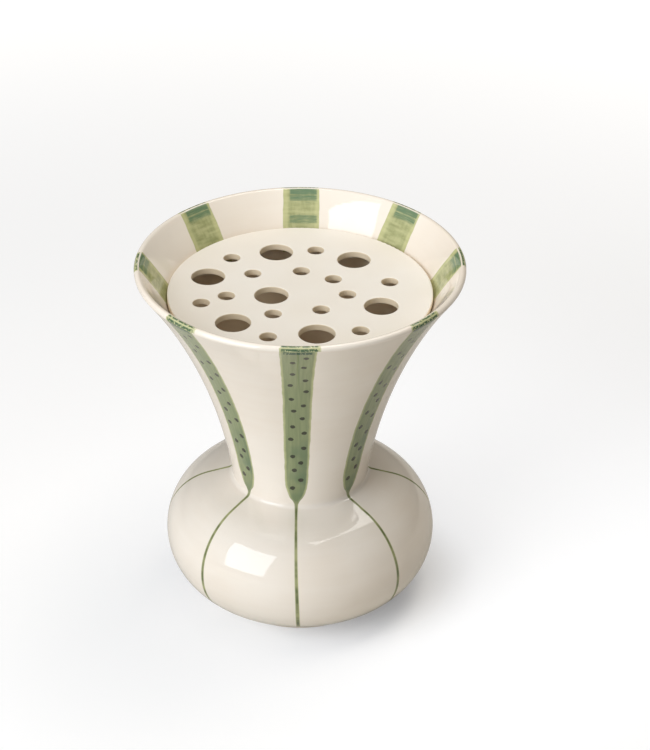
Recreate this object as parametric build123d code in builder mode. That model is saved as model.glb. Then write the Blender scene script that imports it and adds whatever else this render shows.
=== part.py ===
"""A flared vase with a loose flower frog: a pierced disc that rests inside its mouth.

Millimetres, +Z up. The origin is on the vase's axis, in the plane its foot stands on.
"""
import os
from math import cos, radians, sin

from build123d import *

os.makedirs("parts", exist_ok=True)

# Vase: overall size
height = 194.0
rim_radius = 82.5

# Vase: wall, measured square to the surface
lip_wall = 3.6
body_wall = 4.2
lip_taper = 60.0  # the wall thickens from lip_wall to body_wall over this height
lip_slope = 54.0  # degrees from level, where the flare meets the lip

# Vase: where the arcs of its outside meet, from under the lip down to the foot (radius, height)
flare_waist = (65.4, 164.5)
throat_bottom = (35.6, 73.0)
shoulder_start = (37.4, 70.2)
shoulder_end = (48.1, 66.9)
belly_end = (64.2, 17.8)
foot_start = (44.5, 4.8)

# Vase: foot ring and floor
foot_ring_width = 3.6
foot_recess = 2.4
foot_round = 0.7
floor_place = (30.0, 7.4)  # where the floor turns flat

# Frog: a disc with an upright edge, which rests on its lower corner inside the flare
frog_top = 178.0
frog_thickness = 3.6
frog_radius = 66.5
frog_edge_round = 0.8

# Frog: stem holes. Large: (distance from the centre, degrees round it, radius). Small: all one radius.
small_hole_radius = 4.25
hole_round = 0.5
large_holes = [
    (42, 49, 8.5),
    (41.5, 107, 8.5),
    (48.5, 163, 8.5),
    (45.5, 224, 8.8),
    (43, 281, 9.0),
    (43, 339, 8.5),
    (15, 198, 8.5),
]
small_ring = [(46, 11), (42.5, 79), (48.5, 136), (50.5, 194), (47.5, 251), (49, 307)]
small_middle = [(20.5, 35), (20, 88), (29.5, 144), (37, 188), (26.5, 240), (21.5, 299), (24, 351)]


def wall_at(level):
    """The wall's thickness at a height: thin at the lip, full below the taper."""
    share = min(1.0, (lip_outer.Y - level) / lip_taper)
    return lip_wall + (body_wall - lip_wall) * share


def inside(curve, place):
    """The inner wall's point behind a place (0 to 1) along an outer curve drawn downwards."""
    point = curve @ place
    along = curve % place
    return point + Vector(along.Y, -along.X) * wall_at(point.Y)


def inner_arc(curve):
    """The inner wall's arc behind an outer arc."""
    return ThreePointArc(inside(curve, 0), inside(curve, 0.5), inside(curve, 1))


def on_circle(distance, angle):
    """The point at a distance from the frog's centre, at an angle from +X, on its top face."""
    return (distance * cos(radians(angle)), distance * sin(radians(angle)), frog_top)


# The vase is one revolved wall: lip, flare, throat, bulb, foot ring and floor.
# Its outline is drawn with X as the radius and Y as the height.
lip_radius = lip_wall / 2
lip_centre = Vector(rim_radius - lip_radius, height - lip_radius)
lip_along = Vector(cos(radians(lip_slope)), sin(radians(lip_slope)))
lip_across = Vector(lip_along.Y, -lip_along.X)
lip_outer = lip_centre + lip_across * lip_radius
lip_inner = lip_centre - lip_across * lip_radius
foot_inner = foot_start[0] - foot_ring_width

with BuildPart() as vase_body:
    with BuildSketch(Plane.XZ):
        with BuildLine():
            lip = ThreePointArc(lip_inner, lip_centre + lip_along * lip_radius, lip_outer)
            flare = TangentArc(lip_outer, flare_waist, tangent=-lip_along)
            throat = TangentArc(flare @ 1, throat_bottom, tangent=flare % 1)
            crease = TangentArc(throat @ 1, shoulder_start, tangent=throat % 1)
            shoulder = TangentArc(crease @ 1, shoulder_end, tangent=crease % 1)
            belly = TangentArc(shoulder @ 1, belly_end, tangent=shoulder % 1)
            underside = TangentArc(belly @ 1, foot_start, tangent=belly % 1)
            foot = Polyline(
                foot_start,
                (foot_start[0], 0),
                (foot_inner, 0),
                (foot_inner, foot_recess),
                (0, foot_recess),
                (0, floor_place[1]),
                floor_place,
            )
            for outer_arc in (flare, throat, crease, shoulder, belly, underside):
                inner = inner_arc(outer_arc)
            TangentArc(floor_place, inner @ 1, tangent=(1, 0))
        make_face()
    revolve(axis=Axis.Z)
    ring_edges = vase_body.edges().filter_by(GeomType.CIRCLE).filter_by_position(Axis.Z, -0.01, 0.01)
    fillet(ring_edges, radius=foot_round)
vase_body.part.label = "vase_body"
export_step(vase_body.part, "parts/vase_body.step")

# The frog is a plain disc, pierced straight through for the stems
with BuildPart() as flower_frog:
    with Locations((0, 0, frog_top - frog_thickness / 2)):
        Cylinder(frog_radius, frog_thickness)
    fillet(flower_frog.edges().filter_by(GeomType.CIRCLE), radius=frog_edge_round)
    for distance, angle, radius in large_holes:
        with Locations(on_circle(distance, angle)):
            Hole(radius)
    for distance, angle in small_ring + small_middle:
        with Locations(on_circle(distance, angle)):
            Hole(small_hole_radius)
    largest_hole = max(radius for _, _, radius in large_holes)
    hole_edges = flower_frog.edges().filter_by(
        lambda edge: edge.geom_type == GeomType.CIRCLE and edge.radius < largest_hole + 0.1
    )
    fillet(hole_edges, radius=hole_round)
flower_frog.part.label = "flower_frog"
export_step(flower_frog.part, "parts/flower_frog.step")
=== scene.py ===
import math

import bpy
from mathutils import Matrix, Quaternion, Vector


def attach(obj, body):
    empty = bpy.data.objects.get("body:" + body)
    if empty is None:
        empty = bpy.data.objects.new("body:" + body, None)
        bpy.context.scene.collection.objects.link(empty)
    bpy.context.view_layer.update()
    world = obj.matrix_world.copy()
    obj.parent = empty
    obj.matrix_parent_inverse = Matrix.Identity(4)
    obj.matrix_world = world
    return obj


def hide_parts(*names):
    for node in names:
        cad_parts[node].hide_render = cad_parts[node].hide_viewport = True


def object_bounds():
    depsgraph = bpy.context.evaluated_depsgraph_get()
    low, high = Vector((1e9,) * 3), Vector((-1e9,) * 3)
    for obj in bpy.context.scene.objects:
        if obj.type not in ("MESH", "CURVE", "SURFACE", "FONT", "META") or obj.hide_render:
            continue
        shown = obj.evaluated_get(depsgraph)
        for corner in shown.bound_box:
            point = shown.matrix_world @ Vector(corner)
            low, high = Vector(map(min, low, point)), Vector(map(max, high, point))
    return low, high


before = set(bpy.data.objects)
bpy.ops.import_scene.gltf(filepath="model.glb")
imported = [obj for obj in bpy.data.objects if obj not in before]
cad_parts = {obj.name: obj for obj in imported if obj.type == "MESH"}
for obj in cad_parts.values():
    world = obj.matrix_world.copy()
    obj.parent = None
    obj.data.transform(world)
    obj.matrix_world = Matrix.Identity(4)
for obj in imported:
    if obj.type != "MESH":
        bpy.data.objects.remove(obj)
cad_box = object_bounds()

# Lengths are metres, and the paint's are millimetres
MM = 0.001

# The vase's outline, as part.py draws it: tangent arcs between these places (radius, height)
LIP_WALL = 3.6 * MM
BODY_WALL = 4.2 * MM
LIP_TAPER = 60 * MM
LIP_SLOPE = math.radians(54)
ARC_ENDS = [
    (65.4 * MM, 164.5 * MM),
    (35.6 * MM, 73.0 * MM),
    (37.4 * MM, 70.2 * MM),
    (48.1 * MM, 66.9 * MM),
    (64.2 * MM, 17.8 * MM),
    (44.5 * MM, 4.8 * MM),
]
FOOT_RING_WIDTH = 3.6 * MM
FOOT_RECESS = 2.4 * MM
FOOT_ROUND = 0.7 * MM
FLOOR_PLACE = (30 * MM, 7.4 * MM)

# How finely the outline is divided
RING_STEP = 1.6 * MM
SHORT_ARC = 8 * MM  # an arc with a shorter chord is divided by SHORT_STEP
SHORT_STEP = 0.4 * MM
LEAST_STEPS = 4
LIP_STEPS = 12
CORNER_STEPS = 4
FLAT_STEPS = 8

# The painted stripes: where each one's middle lies round the vase, in degrees from +X
STRIPE_ANGLES = [-134.6, -90.4, -43.5, 4.0, 46.0, 89.5, 133.5, 178.8]
COLUMNS_PER_STRIPE = 28
GLAZED, BARE = 0, 1  # the vase's material slots


# ---------------------------------------------------------------- the vase's outline

def arc_from(start, direction, end, step):
    """The points after start on the arc to end that leaves in a direction, and the arc's last direction."""
    chord = Vector(end) - Vector(start)
    leaving = math.atan2(direction.y, direction.x)
    turn = 2 * (math.atan2(chord.y, chord.x) - leaving)
    turn = (turn + 2 * math.pi) % (4 * math.pi) - 2 * math.pi
    radius = chord.length / (2 * math.sin(turn / 2))
    count = max(LEAST_STEPS, math.ceil(abs(radius * turn) / step))
    centre = Vector(start) + Vector((-direction.y, direction.x)) * radius
    points = []
    for i in range(1, count + 1):
        angle = leaving + turn * i / count
        points.append(centre + Vector((math.sin(angle), -math.cos(angle))) * radius)
    last = Vector((math.cos(leaving + turn), math.sin(leaving + turn)))
    return points, last


def outer_wall(start, direction):
    """The outside's points from under the lip down to the foot, and the outline's direction at each."""
    points = [start]
    directions = [direction]
    for end in ARC_ENDS:
        step = RING_STEP if (Vector(end) - points[-1]).length > SHORT_ARC else SHORT_STEP
        arc, last = arc_from(points[-1], directions[-1], end, step)
        points += arc
        directions += [None] * (len(arc) - 1) + [last]
    for i, direction in enumerate(directions):
        if direction is None:
            directions[i] = (points[i + 1] - points[i - 1]).normalized()
    return points, directions


def inner_wall(outer, directions):
    """The inside's points, each a wall's thickness behind one of the outside's."""
    inner = []
    for point, direction in zip(outer, directions):
        share = min(1.0, (outer[0].y - point.y) / LIP_TAPER)
        wall = LIP_WALL + (BODY_WALL - LIP_WALL) * share
        inner.append(point + Vector((direction.y, -direction.x)) * wall)
    return inner


def lip_round(centre, along, across):
    """The lip's rounded top, from the inside to the outside."""
    points = []
    for i in range(1, LIP_STEPS):
        turn = math.pi * i / LIP_STEPS
        points.append(centre + (-across * math.cos(turn) + along * math.sin(turn)) * (LIP_WALL / 2))
    return points


def foot_ring():
    """The foot ring's side and its rounded lower edges."""
    ring_out = ARC_ENDS[-1][0]
    ring_in = ring_out - FOOT_RING_WIDTH
    points = [Vector((ring_out, FOOT_ROUND * 2))]
    for side, centre in ((0, ring_out - FOOT_ROUND), (1, ring_in + FOOT_ROUND)):
        for i in range(CORNER_STEPS + 1):
            turn = math.pi / 2 * (side + i / CORNER_STEPS)
            radius = centre + math.cos(turn) * FOOT_ROUND
            points.append(Vector((radius, FOOT_ROUND - math.sin(turn) * FOOT_ROUND)))
    return points


def level_line(start, end, height):
    """Evenly spaced points at one height, from one radius to another."""
    return [Vector((start + (end - start) * i / FLAT_STEPS, height)) for i in range(FLAT_STEPS + 1)]


def outline():
    """The vase's section as (radius, height, place), and the index where its foot ring starts.

    A place is the length along the section from the lip's top, less than 0 inside.
    """
    height, rim = cad_box[1].z, cad_box[1].x
    lip_centre = Vector((rim - LIP_WALL / 2, height - LIP_WALL / 2))
    along = Vector((math.cos(LIP_SLOPE), math.sin(LIP_SLOPE)))
    across = Vector((along.y, -along.x))
    lip = lip_round(lip_centre, along, across)
    outer, directions = outer_wall(lip_centre + across * (LIP_WALL / 2), -along)
    inner = inner_wall(outer, directions)
    floor_radius, floor_height = FLOOR_PLACE
    bowl, _ = arc_from(FLOOR_PLACE, Vector((1, 0)), inner[-1], RING_STEP)
    inside = level_line(0, floor_radius, floor_height) + bowl[:-1] + inner[::-1]
    recess = level_line(ARC_ENDS[-1][0] - FOOT_RING_WIDTH, 0, FOOT_RECESS)

    section = inside + lip + outer + foot_ring() + recess
    lengths = [0.0]
    for before, after in zip(section, section[1:]):
        lengths.append(lengths[-1] + (after - before).length)
    lip_top = lengths[len(inside) + len(lip) // 2]
    foot_index = len(inside) + len(lip) + len(outer)
    return [(p.x, p.y, length - lip_top) for p, length in zip(section, lengths)], foot_index


def stripe_columns():
    """Angles round the vase, and each column's stripe number and its stripe's middle angle."""
    middles = sorted(math.radians(a) for a in STRIPE_ANGLES)
    edges = []
    for i, middle in enumerate(middles):
        before = middles[i - 1] - (2 * math.pi if i == 0 else 0)
        edges.append((before + middle) / 2)
    edges.append(edges[0] + 2 * math.pi)
    angles, owners = [], []
    for i, middle in enumerate(middles):
        width = edges[i + 1] - edges[i]
        for k in range(COLUMNS_PER_STRIPE):
            angles.append(edges[i] + width * k / COLUMNS_PER_STRIPE)
            owners.append((i, middle))
    angles.append(edges[-1])
    return angles, owners


def build_vase():
    """The vase as one closed skin. UV map paint holds the way across the stripe and down the outline,
    in millimetres, and UV map stripe holds the stripe's number."""
    section, foot_index = outline()
    angles, owners = stripe_columns()
    columns = len(owners)
    rings = section[1:-1]
    last = len(rings) - 1
    vertices = [(0, 0, section[0][1])]
    for radius, level, _ in rings:
        vertices += [(radius * math.cos(a), radius * math.sin(a), level) for a in angles[:-1]]
    vertices.append((0, 0, section[-1][1]))

    def corner(ring, column, owner):
        """A vertex's index, and its places in the two UV maps as a corner of this stripe's face."""
        radius, _, place = rings[ring]
        stripe, middle = owner
        vertex = 1 + ring * columns + column % columns
        return vertex, ((angles[column] - middle) * radius / MM, place / MM), (stripe, 0.0)

    faces, materials = [], []
    for column, owner in enumerate(owners):
        near, far = corner(0, column, owner), corner(0, column + 1, owner)
        faces.append([(0, *near[1:]), near, far])
        materials.append(GLAZED)
        for ring in range(last):
            faces.append([
                corner(ring, column, owner),
                corner(ring + 1, column, owner),
                corner(ring + 1, column + 1, owner),
                corner(ring, column + 1, owner),
            ])
            materials.append(GLAZED if ring < foot_index - 1 else BARE)
        near, far = corner(last, column, owner), corner(last, column + 1, owner)
        faces.append([(len(vertices) - 1, *near[1:]), far, near])
        materials.append(BARE)

    mesh = bpy.data.meshes.new("painted_vase")
    mesh.from_pydata(vertices, [], [[vertex for vertex, _, _ in face] for face in faces])
    for name, index in (("paint", 1), ("stripe", 2)):
        layer = mesh.uv_layers.new(name=name)
        layer.data.foreach_set("uv", [value for face in faces for c in face for value in c[index]])
    mesh.polygons.foreach_set("material_index", materials)
    mesh.polygons.foreach_set("use_smooth", [True] * len(faces))
    mesh.validate()
    mesh.update()
    vase = bpy.data.objects.new("painted_vase", mesh)
    bpy.context.scene.collection.objects.link(vase)
    return vase


# ---------------------------------------------------------------- a short way to write materials

class Shade:
    """One node material and short names for the nodes it needs."""

    def __init__(self, name):
        self.material = bpy.data.materials.new(name)
        self.material.use_nodes = True
        self.nodes = self.material.node_tree.nodes
        self.links = self.material.node_tree.links
        self.nodes.clear()
        self.surface = self.nodes.new("ShaderNodeBsdfPrincipled")
        output = self.nodes.new("ShaderNodeOutputMaterial")
        self.links.new(self.surface.outputs["BSDF"], output.inputs["Surface"])

    def feed(self, value, socket):
        """Sets a socket, or links it when the value is another node's output."""
        if isinstance(value, bpy.types.NodeSocket):
            self.links.new(value, socket)
        else:
            socket.default_value = value

    def uv(self, name):
        """A UV map's two coordinates."""
        layer = self.nodes.new("ShaderNodeUVMap")
        layer.uv_map = name
        split = self.nodes.new("ShaderNodeSeparateXYZ")
        self.links.new(layer.outputs["UV"], split.inputs[0])
        return split.outputs["X"], split.outputs["Y"]

    def place(self):
        """The piece's own coordinates, in metres."""
        return self.nodes.new("ShaderNodeTexCoord").outputs["Object"]

    def facing_up(self):
        """The upward part of the surface's direction, in the piece's own coordinates."""
        split = self.nodes.new("ShaderNodeSeparateXYZ")
        self.links.new(self.nodes.new("ShaderNodeTexCoord").outputs["Normal"], split.inputs[0])
        return split.outputs["Z"]

    def vector(self, x, y, z=0.0):
        joined = self.nodes.new("ShaderNodeCombineXYZ")
        for value, socket in zip((x, y, z), joined.inputs):
            self.feed(value, socket)
        return joined.outputs[0]

    def math(self, operation, a, b=0.0, c=0.0):
        node = self.nodes.new("ShaderNodeMath")
        node.operation = operation
        for value, socket in zip((a, b, c), node.inputs):
            self.feed(value, socket)
        return node.outputs[0]

    def add(self, a, b):
        return self.math("ADD", a, b)

    def take(self, a, b):
        return self.math("SUBTRACT", a, b)

    def times(self, a, b):
        return self.math("MULTIPLY", a, b)

    def between(self, share, low, high):
        """low where share is 0, high where it is 1."""
        return self.math("MULTIPLY_ADD", share, high - low, low)

    def distance(self, vector, point):
        node = self.nodes.new("ShaderNodeVectorMath")
        node.operation = "DISTANCE"
        self.links.new(vector, node.inputs[0])
        node.inputs[1].default_value = point
        return node.outputs["Value"]

    def step(self, value, low, high):
        """0 below low, 1 above high, smooth between them; 1 below and 0 above where low is the larger."""
        node = self.nodes.new("ShaderNodeMapRange")
        node.interpolation_type = "SMOOTHSTEP"
        self.feed(value, node.inputs["Value"])
        node.inputs["From Min"].default_value = min(low, high)
        node.inputs["From Max"].default_value = max(low, high)
        node.inputs["To Min"].default_value = 0.0 if low < high else 1.0
        node.inputs["To Max"].default_value = 1.0 if low < high else 0.0
        return node.outputs[0]

    def band(self, value, ends, soft):
        """1 between two ends, fading over soft to each side of them."""
        low, high = ends
        above = self.step(value, low - soft, low + soft)
        return self.times(above, self.step(value, high + soft, high - soft))

    def noise(self, vector, scale=1.0, detail=2.0, roughness=0.5):
        node = self.nodes.new("ShaderNodeTexNoise")
        self.links.new(vector, node.inputs["Vector"])
        node.inputs["Scale"].default_value = scale
        node.inputs["Detail"].default_value = detail
        node.inputs["Roughness"].default_value = roughness
        return node.outputs[0]

    def curve(self, value, points, low, high):
        """A smooth curve through points whose second numbers lie between low and high."""
        first, last = points[0][0], points[-1][0]
        share = self.nodes.new("ShaderNodeMapRange")
        self.feed(value, share.inputs["Value"])
        share.inputs["From Min"].default_value = first
        share.inputs["From Max"].default_value = last
        node = self.nodes.new("ShaderNodeFloatCurve")
        self.links.new(share.outputs[0], node.inputs["Value"])
        line = node.mapping.curves[0]
        scaled = [((x - first) / (last - first), (y - low) / (high - low)) for x, y in points]
        line.points[0].location = scaled[0]
        line.points[1].location = scaled[-1]
        for x, y in scaled[1:-1]:
            line.points.new(x, y)
        node.mapping.update()
        return self.between(node.outputs[0], low, high)

    def mix(self, share, a, b):
        """Colour a where share is 0, b where it is 1."""
        node = self.nodes.new("ShaderNodeMix")
        node.data_type = "RGBA"
        self.feed(share, node.inputs[0])
        self.feed(a, node.inputs[6])
        self.feed(b, node.inputs[7])
        return node.outputs[2]

    def bump(self, height, distance, normal=None):
        node = self.nodes.new("ShaderNodeBump")
        node.inputs["Strength"].default_value = 1.0
        node.inputs["Distance"].default_value = distance
        self.feed(height, node.inputs["Height"])
        if normal is not None:
            self.links.new(normal, node.inputs["Normal"])
        return node.outputs[0]


def tone(red, green, blue):
    """A colour given as it looks on a screen, 0 to 255, as the shader wants it."""
    def linear(value):
        value /= 255
        return value / 12.92 if value <= 0.04045 else ((value + 0.055) / 1.055) ** 2.4
    return (linear(red), linear(green), linear(blue), 1.0)


# ---------------------------------------------------------------- glaze and paint

CREAM = tone(242, 233, 220)
CREAM_WARM = tone(237, 225, 209)
CREAM_BOUNCE_LIT = tone(252, 245, 232)  # lighter towards the foot: painted bounce light from the floor
INSIDE_SHADE = tone(234, 215, 188)  # below the frog: warmer and darker, painted shade deep inside the vase
GAP_SHADOW = tone(136, 114, 84)  # a dark ring where the frog rests: painted shadow in the gap between the frog's edge and the wall
CLAY_PALE = tone(226, 214, 196)
CLAY_DARK = tone(208, 192, 168)
FROG_PALE = tone(241, 235, 225)
FROG_WARM = tone(237, 229, 216)
# Painted shade: a darker, warmer tone for the frog's hole walls and rim edge
WALL_SHADE = tone(236, 219, 190)
SAGE = tone(130, 140, 100)
SAGE_LIGHT = tone(146, 155, 114)
TEAL = tone(102, 121, 90)
STEM_DARK = tone(106, 114, 76)
STEM_PALE = tone(164, 165, 120)
PALE_EDGE = tone(206, 205, 152)
INK = tone(46, 47, 36)
SCRIBBLE = tone(44, 78, 62)
FRINGE = tone(198, 198, 150)
LIP_DARK = tone(60, 92, 66)
BRUSH_DARK = tone(102, 128, 98)
KHAKI = tone(152, 156, 108)
KHAKI_LIGHT = tone(186, 186, 138)

# The paint's places are (mm across the stripe, mm down from the lip's top); inside, down is less than 0.
APART = 40  # from one stripe to the next in the noise that is not stretched
# Painted bounce light from the floor, lighter towards the foot (mm down)
BOUNCE_LIT_FOOT = (180, 235)
# Painted shade deep inside the vase, below the frog (mm down)
DEEP_SHADE_BAND = (-26, -46)
# Painted shadow in the gap round the frog's edge (mm down)
GAP_SHADOW_RING = (-27.6, -24.4)

# The leaf's half width down the outside, then its stem's
LEAF_HALF = [
    (0, 9.1), (24, 8.1), (48, 7.35), (95, 6.4), (116, 5.8), (122, 4.9), (127, 3.3),
    (130, 1.5), (133, 0.85), (160, 0.8), (195, 1.0), (240, 0.9),
]
STEM_END = 228.5  # just above the foot ring
STEM_KNOT = (126, 132)  # the darker paint where the leaf narrows to its stem
# How far the leaf and its stem lie from the stripe's middle
LEAF_MIDDLE = [
    (0, -0.2), (20, -0.6), (60, -1.0), (124, -1.6), (150, -1.7), (190, -0.9), (240, 0.2),
]
LEAF_VEIN = (-0.3, 0.2)
# The painted dots zigzag down the leaf, closing in a little and wandering by hand
DOT_COUNT = 20
DOT_RADIUS = 1.35
DOT_SOFT = 0.15
DOT_FIRST = 8.5
DOT_STEP = 5.85
DOT_SIDE = 3.5
DOT_CLOSING = 0.07
DOT_WANDER = 0.8
DOT_SWAY = (2.3, 1.7)  # radians from one dot to the next, across the leaf and down it
DOT_SHIFT = 0.4
SCRIBBLE_DOWN, SCRIBBLE_ACROSS = (1.0, 4.9), (-7.4, 6.4)

# The stripe inside: its half width and how deep it reaches, and how dark its brush marks are on the way
INNER_HALF = 9.5
INNER_DEPTH = (2.0, 35)
BRUSH_DARKNESS = [
    (2, 0.9), (4.6, 0.98), (5.3, 0.65), (6.1, 0.9), (7.6, 0.8), (9.2, 0.4), (12.5, 0.14), (20, 0.0),
]
BRUSH_ACROSS = (-8.2, 6.0)
TWICE_BRUSHED = 5  # the stripe with a second set of brush marks, just above the frog
SECOND_BRUSH = (15.5, 20.5)

# The fringe over the lip, and the two dark lines along it
FRINGE_DOWN, FRINGE_ACROSS = (-1.3, 2.2), (-8.8, 10.4)
LINE_INNER, LINE_OUTER = (-1.2, -0.2), (0.5, 2.0)
LINE_ACROSS = (-8.4, 9.2)


def paint_place(shade):
    """The way across the stripe, the way down from the lip's top, and the stripe's number."""
    offset, down = shade.uv("paint")
    stripe, _ = shade.uv("stripe")
    return offset, down, stripe


def stretched(shade, across, along, apart):
    """A place for noise: the paint's, scaled across and along the stripe, and set apart for each stripe."""
    offset, down, stripe = paint_place(shade)
    return shade.vector(shade.times(offset, across), shade.times(down, along), shade.times(stripe, apart))


def glaze(shade):
    """Cream glaze: slow changes of tone and the ripple that bends its reflections, plus painted light and
    shade: bounce light towards the foot, shade below the frog and a shadow ring in the frog's gap. Returns
    its colour.
    """
    place = shade.place()
    _, down, _ = paint_place(shade)
    cloud = shade.noise(place, 14, detail=3, roughness=0.55)
    turned = shade.noise(stretched(shade, 0.012, 0.22, 0), detail=3)
    warmth = shade.step(shade.add(cloud, shade.times(turned, 0.2)), 0.42, 0.85)
    colour = shade.mix(warmth, CREAM, CREAM_WARM)
    ripple = shade.noise(place, 34, detail=1)
    grain = shade.noise(place, 900, detail=2)
    normal = shade.bump(ripple, 0.0005)
    normal = shade.bump(turned, 0.00003, normal)
    shade.feed(normal, shade.surface.inputs["Normal"])
    shade.surface.inputs["IOR"].default_value = 1.5
    shade.feed(shade.add(shade.times(grain, 0.02), 0.015), shade.surface.inputs["Roughness"])
    # Painted bounce light: lighter towards the foot
    colour = shade.mix(shade.step(down, *BOUNCE_LIT_FOOT), colour, CREAM_BOUNCE_LIT)
    # Painted shade: warmer and darker below the frog
    colour = shade.mix(shade.step(down, *DEEP_SHADE_BAND), colour, INSIDE_SHADE)
    # Painted shadow: a dark ring in the gap round the frog's edge
    return shade.mix(shade.times(shade.band(down, GAP_SHADOW_RING, 0.7), 0.8), colour, GAP_SHADOW)


def edge_wobble(shade, scale):
    """How far a stripe's painted edge strays, in millimetres."""
    return shade.times(shade.take(shade.noise(stretched(shade, 1, 1, APART), scale, detail=3), 0.5), 0.9)


def leaf_green(shade, half, inset):
    """The leaf's streaked greens, its vein and pale edge, and its stem's."""
    offset, down, stripe = paint_place(shade)
    streaks = shade.noise(stretched(shade, 0.8, 0.035, 3), detail=4, roughness=0.6)
    green = shade.mix(shade.step(streaks, 0.3, 0.72), SAGE, SAGE_LIGHT)
    pool = shade.noise(stretched(shade, 1, 1, APART), 0.07, detail=2)
    pooled = shade.step(shade.add(pool, shade.times(offset, 0.03)), 0.35, 0.75)
    green = shade.mix(shade.times(shade.step(down, 55, 120), pooled), green, TEAL)
    vein = shade.times(shade.band(offset, LEAF_VEIN, 0.25), shade.step(down, 50, 30))
    green = shade.mix(shade.times(vein, 0.45), green, TEAL)
    edge = shade.times(shade.step(inset, 1.5, 0.3), shade.step(half, 0.8, 2.0))
    green = shade.mix(shade.times(edge, 0.65), green, PALE_EDGE)

    run = shade.noise(shade.vector(shade.times(down, 0.09), shade.times(stripe, 5)), detail=3)
    stem = shade.mix(shade.step(run, 0.4, 0.62), STEM_DARK, STEM_PALE)
    stem = shade.mix(shade.times(shade.step(inset, 0.5, 0.1), 0.6), stem, PALE_EDGE)
    green = shade.mix(shade.step(half, 2.2, 1.3), green, stem)
    return shade.mix(shade.times(shade.band(down, STEM_KNOT, 3), 0.55), green, TEAL)


def leaf_dots(shade, middle):
    """1 on the leaf's dots and 0 off them, with slightly ragged edges."""
    offset, down, _ = paint_place(shade)
    inked = shade.vector(shade.take(offset, shade.add(middle, DOT_SHIFT)), down)
    nearest = None
    for i in range(DOT_COUNT):
        side = (DOT_SIDE - DOT_CLOSING * i) * (-1) ** i
        x = side + DOT_WANDER * math.sin(DOT_SWAY[0] * i)
        y = DOT_FIRST + DOT_STEP * i + DOT_WANDER * math.cos(DOT_SWAY[1] * i)
        gap = shade.distance(inked, (x, y, 0))
        nearest = gap if nearest is None else shade.math("MINIMUM", nearest, gap)
    rough = shade.noise(stretched(shade, 1, 1, APART), 0.8, detail=2)
    ragged = shade.times(shade.take(rough, 0.5), 0.7)
    return shade.step(shade.add(nearest, ragged), DOT_RADIUS + DOT_SOFT, DOT_RADIUS - DOT_SOFT)


def leaf_paint(shade, ground):
    """The green leaf outside, its dots, its stem and the scribbles under the lip, over a ground colour."""
    offset, down, _ = paint_place(shade)
    middle = shade.curve(down, LEAF_MIDDLE, -2.0, 0.5)
    half = shade.curve(down, LEAF_HALF, 0.0, 10.0)
    wobble = edge_wobble(shade, 0.16)
    across = shade.math("ABSOLUTE", shade.take(offset, middle))
    inset = shade.add(shade.take(half, across), shade.times(wobble, shade.step(half, 0.6, 4.0)))
    mask = shade.times(shade.step(inset, -0.2, 0.2), shade.step(down, 0.0, 0.5))
    mask = shade.times(mask, shade.step(down, STEM_END + 1, STEM_END - 1))

    green = leaf_green(shade, half, inset)
    green = shade.mix(shade.times(leaf_dots(shade, middle), 0.92), green, INK)
    squiggle = shade.noise(stretched(shade, 1.5, 0.4, 1), detail=3)
    scribble = shade.times(shade.band(down, SCRIBBLE_DOWN, 0.35), shade.band(offset, SCRIBBLE_ACROSS, 0.5))
    scribble = shade.times(scribble, shade.step(squiggle, 0.38, 0.46))
    green = shade.mix(shade.times(scribble, 0.9), green, SCRIBBLE)
    return shade.mix(mask, ground, green)


def brush_marks(shade, depth):
    """How strongly the dark brush marks show on the stripe inside, 0 to 1."""
    offset, _, stripe = paint_place(shade)
    strokes = shade.noise(stretched(shade, 0.16, 1.3, 9), detail=4, roughness=0.6)
    dark = shade.curve(depth, BRUSH_DARKNESS, 0.0, 1.0)
    chosen = shade.math("COMPARE", stripe, TWICE_BRUSHED, 0.5)
    second = shade.times(shade.times(shade.band(depth, SECOND_BRUSH, 1.2), chosen), 0.75)
    dark = shade.math("MAXIMUM", dark, second)
    marks = shade.step(shade.add(shade.times(dark, 0.8), shade.times(strokes, 0.9)), 0.68, 1.3)
    return shade.times(marks, shade.band(offset, BRUSH_ACROSS, 0.6))


def inner_paint(shade, ground):
    """The khaki stripes inside, with dark brush marks near the lip, over a ground colour."""
    offset, down, _ = paint_place(shade)
    depth = shade.times(down, -1.0)
    inset = shade.add(shade.take(INNER_HALF, shade.math("ABSOLUTE", offset)), edge_wobble(shade, 0.14))
    mask = shade.times(shade.step(inset, -0.2, 0.25), shade.band(depth, INNER_DEPTH, 0.3))

    upright = shade.noise(stretched(shade, 0.5, 0.12, 1), detail=3)
    level = shade.noise(stretched(shade, 0.12, 0.45, 1), detail=4)
    hatch = shade.math("MULTIPLY_ADD", upright, 0.35, shade.times(level, 0.65))
    khaki = shade.mix(shade.step(hatch, 0.34, 0.66), KHAKI, KHAKI_LIGHT)
    khaki = shade.mix(shade.times(shade.step(inset, 3.4, 1.6), 0.55), khaki, PALE_EDGE)
    khaki = shade.mix(shade.times(brush_marks(shade, depth), 0.95), khaki, BRUSH_DARK)
    return shade.mix(mask, ground, khaki)


def lip_paint(shade, ground):
    """The yellow-green fringe that crosses the lip at each stripe, and the two dark lines along it."""
    offset, down, _ = paint_place(shade)
    patch = shade.noise(stretched(shade, 0.5, 0.5, 1), detail=2)
    fringe = shade.times(shade.band(down, FRINGE_DOWN, 0.3), shade.band(offset, FRINGE_ACROSS, 0.5))
    ground = shade.mix(shade.times(fringe, shade.step(patch, 0.25, 0.5)), ground, FRINGE)
    strokes = shade.step(shade.noise(stretched(shade, 0.9, 0.7, 7), detail=3), 0.38, 0.5)
    lines = shade.math("MAXIMUM", shade.band(down, LINE_INNER, 0.3), shade.band(down, LINE_OUTER, 0.3))
    lines = shade.times(lines, shade.band(offset, LINE_ACROSS, 0.5))
    return shade.mix(shade.times(shade.times(lines, strokes), 0.92), ground, LIP_DARK)


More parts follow.
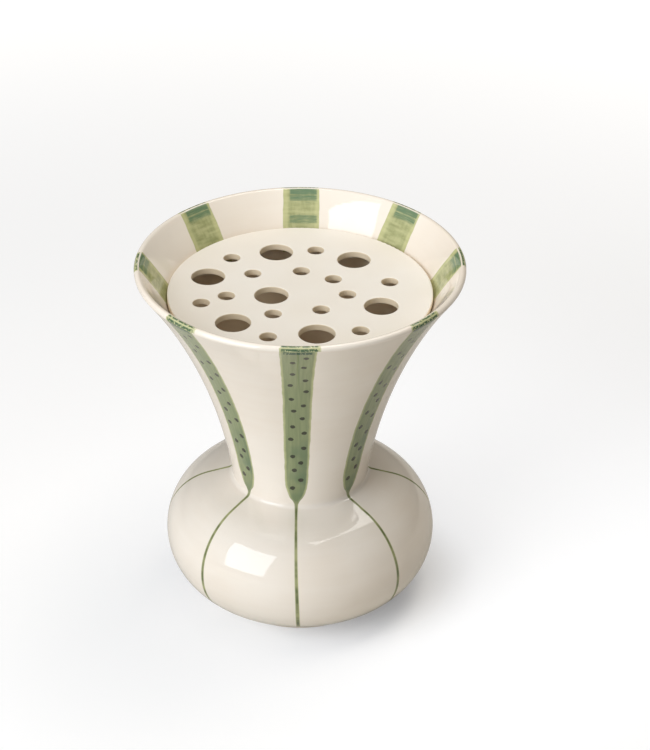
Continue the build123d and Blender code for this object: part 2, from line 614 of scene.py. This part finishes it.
def painted_glaze():
    """The vase's glaze, with the paint under it."""
    shade = Shade("painted_glaze")
    colour = lip_paint(shade, inner_paint(shade, leaf_paint(shade, glaze(shade))))
    shade.feed(colour, shade.surface.inputs["Base Color"])
    return shade.material


def foot_clay():
    """The bare fired clay of the foot ring and the base inside it."""
    shade = Shade("bare_foot")
    speck = shade.noise(shade.place(), 500, detail=3)
    shade.feed(shade.mix(speck, CLAY_PALE, CLAY_DARK), shade.surface.inputs["Base Color"])
    shade.feed(shade.bump(speck, 0.0001), shade.surface.inputs["Normal"])
    shade.surface.inputs["Roughness"].default_value = 0.85
    return shade.material


def frog_glaze():
    """The frog's thin, satin glaze, with painted shade on its upright faces: the hole walls and the rim's
    edge.
    """
    shade = Shade("satin_frog")
    place = shade.place()
    cloud = shade.step(shade.noise(place, 18, detail=3), 0.3, 0.7)
    top = shade.mix(cloud, FROG_PALE, FROG_WARM)
    # Painted shade: upright faces (the hole walls and the rim's edge) take a darker, warmer tone
    wall = shade.step(shade.math("ABSOLUTE", shade.facing_up()), 0.9, 0.3)
    shade.feed(shade.mix(wall, top, WALL_SHADE), shade.surface.inputs["Base Color"])
    grain = shade.noise(place, 700, detail=3)
    swell = shade.noise(place, 30, detail=1)
    normal = shade.bump(swell, 0.0004)
    shade.feed(shade.bump(grain, 0.00003, normal), shade.surface.inputs["Normal"])
    shade.feed(shade.add(shade.times(grain, 0.15), 0.42), shade.surface.inputs["Roughness"])
    return shade.material


# ---------------------------------------------------------------- the pieces

vase = build_vase()
for material in (painted_glaze(), foot_clay()):
    vase.data.materials.append(material)
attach(vase, "vase")
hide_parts("vase_body")

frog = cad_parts["flower_frog"]
frog.data.materials.clear()
frog.data.materials.append(frog_glaze())


# ---------------------------------------------------------------- floor, lights and camera

WHITE = (1.0, 1.0, 1.0, 1.0)

# The floor glows a little, and the glow lights nothing but the floor. Centres, and distances from them.
FLOOR_HALF = 60.0
FLOOR_TONE = (0.66, 0.635, 0.59, 1.0)
GLOW_TONE = (0.85, 0.9, 1.0, 1.0)
FLOOR_GLOW = 0.405
CONTACT = (0.026, 0.004, 0)  # the middle of the darkest floor, under the bulb
CONTACT_REACH = (0.028, 0.075)
CONTACT_GLOW = 0.4
PENUMBRA = (0.11, 0.05, 0)  # the middle of the soft shadow's outer part
PENUMBRA_REACH = (0.3, 0.06)
PENUMBRA_GLOW = 1.25
FAR_REACH = (0.35, 1.1)
FAR_GLOW = 1.8

# The lights. Azimuths are degrees from -Y towards +X, and rolls are degrees about a light's own axis.
KEY_AZIMUTH, KEY_ELEVATION, KEY_DISTANCE = -46, 25, 1.1
KEY_AIM = Vector((0, 0, 0.09))
KEY_SIZE = (0.68, 0.82)
KEY_ROLL = 5
KEY_RADIANCE = 4.4
KEY_COLOUR = (0.955, 1.01, 1.1)
OVERHEAD_PLACE = Vector((0.43, 0.30, 1.667))
OVERHEAD_SIZE = (1.44, 0.83)
OVERHEAD_ROLL = 48
OVERHEAD_RADIANCE = 4.2
OVERHEAD_COLOUR = (1.0, 0.97, 0.92)
FILL_COLOUR = (1.0, 0.99, 0.96, 1.0)
FILL_EVEN = 0.03
FILL_SLOPE = (-0.33, -0.4, 0.32)  # the way the fill grows brighter, and by how much

# The camera looks down along +Y
CAMERA_PLACE = (0, -1.0415, 0.774)
CAMERA_DOWN = 31.8  # degrees
CAMERA_LENS = 115.2  # mm, as the sensor
CAMERA_SENSOR = 36.0
CAMERA_SHIFT = 0.0333


def floor_material():
    """A pale floor whose glow is least under the bulb and most far away: a soft shadow on bright ground."""
    shade = Shade("pale_floor")
    shade.surface.inputs["Base Color"].default_value = FLOOR_TONE
    shade.surface.inputs["Roughness"].default_value = 0.9
    shade.surface.inputs["Specular IOR Level"].default_value = 0.1
    place = shade.place()
    far = shade.step(shade.distance(place, (0, 0, 0)), *FAR_REACH)
    away = shade.step(shade.distance(place, CONTACT), *CONTACT_REACH)
    half_shade = shade.step(shade.distance(place, PENUMBRA), *PENUMBRA_REACH)
    glow = shade.times(shade.between(away, CONTACT_GLOW, 1.0), shade.between(half_shade, 1.0, PENUMBRA_GLOW))
    glow = shade.times(shade.times(glow, shade.between(far, 1.0, FAR_GLOW)), FLOOR_GLOW)
    shade.feed(shade.mix(far, GLOW_TONE, WHITE), shade.surface.inputs["Emission Color"])
    shade.feed(glow, shade.surface.inputs["Emission Strength"])
    shade.material.cycles.emission_sampling = "NONE"
    return shade.material


def make_floor():
    """The floor, with its glow kept off everything else."""
    mesh = bpy.data.meshes.new("floor")
    corners = [(x * FLOOR_HALF, y * FLOOR_HALF, 0) for x, y in ((-1, -1), (1, -1), (1, 1), (-1, 1))]
    mesh.from_pydata(corners, [], [(0, 1, 2, 3)])
    floor = bpy.data.objects.new("floor", mesh)
    bpy.context.scene.collection.objects.link(floor)
    floor.data.materials.append(floor_material())
    lit_by_glow = bpy.data.collections.new("lit_by_floor_glow")
    lit_by_glow.objects.link(floor)
    floor.light_linking.receiver_collection = lit_by_glow


def softbox(name, place, aim, size, radiance, colour, roll):
    """A rectangular area light at a place, facing a point."""
    width, height = size
    data = bpy.data.lights.new(name, "AREA")
    data.shape = "RECTANGLE"
    data.size = width
    data.size_y = height
    data.energy = radiance * math.pi * width * height
    data.color = colour
    light = bpy.data.objects.new(name, data)
    light.location = place
    away = (place - aim).normalized()
    light.rotation_mode = "QUATERNION"
    light.rotation_quaternion = Quaternion(away, math.radians(roll)) @ away.to_track_quat("Z", "Y")
    bpy.context.scene.collection.objects.link(light)


def seen_from(centre, azimuth, elevation, distance):
    """The point at a distance from centre, at an azimuth and an elevation in degrees."""
    az, el = math.radians(azimuth), math.radians(elevation)
    direction = Vector((math.sin(az) * math.cos(el), -math.cos(az) * math.cos(el), math.sin(el)))
    return centre + direction * distance


def make_lights():
    """A softbox at the front left for the key light, and one overhead at the back right."""
    key_place = seen_from(KEY_AIM, KEY_AZIMUTH, KEY_ELEVATION, KEY_DISTANCE)
    softbox("key", key_place, KEY_AIM, KEY_SIZE, KEY_RADIANCE, KEY_COLOUR, KEY_ROLL)
    below = OVERHEAD_PLACE - Vector((0, 0, 1))
    softbox(
        "overhead", OVERHEAD_PLACE, below, OVERHEAD_SIZE, OVERHEAD_RADIANCE, OVERHEAD_COLOUR, OVERHEAD_ROLL
    )


def make_fill():
    """Faint light from all round, brighter from the front, the left and above."""
    world = bpy.data.worlds.new("studio")
    bpy.context.scene.world = world
    world.use_nodes = True
    nodes, links = world.node_tree.nodes, world.node_tree.links
    backdrop = nodes["Background"]
    backdrop.inputs["Color"].default_value = FILL_COLOUR
    direction = nodes.new("ShaderNodeTexCoord")
    slope = nodes.new("ShaderNodeVectorMath")
    slope.operation = "DOT_PRODUCT"
    slope.inputs[1].default_value = FILL_SLOPE
    links.new(direction.outputs["Generated"], slope.inputs[0])
    strength = nodes.new("ShaderNodeMath")
    strength.operation = "MAXIMUM"
    strength.inputs[1].default_value = 0.0
    links.new(slope.outputs["Value"], strength.inputs[0])
    even = nodes.new("ShaderNodeMath")
    even.inputs[1].default_value = FILL_EVEN
    links.new(strength.outputs[0], even.inputs[0])
    links.new(even.outputs[0], backdrop.inputs["Strength"])


def make_camera():
    """The camera, above the front."""
    data = bpy.data.cameras.new("camera")
    data.lens = CAMERA_LENS
    data.sensor_width = CAMERA_SENSOR
    data.shift_x = CAMERA_SHIFT
    camera = bpy.data.objects.new("camera", data)
    camera.location = CAMERA_PLACE
    camera.rotation_euler = (math.radians(90 - CAMERA_DOWN), 0, 0)
    bpy.context.scene.collection.objects.link(camera)
    bpy.context.scene.camera = camera
    bpy.context.scene.view_settings.view_transform = "Standard"


make_floor()
make_lights()
make_fill()
make_camera()
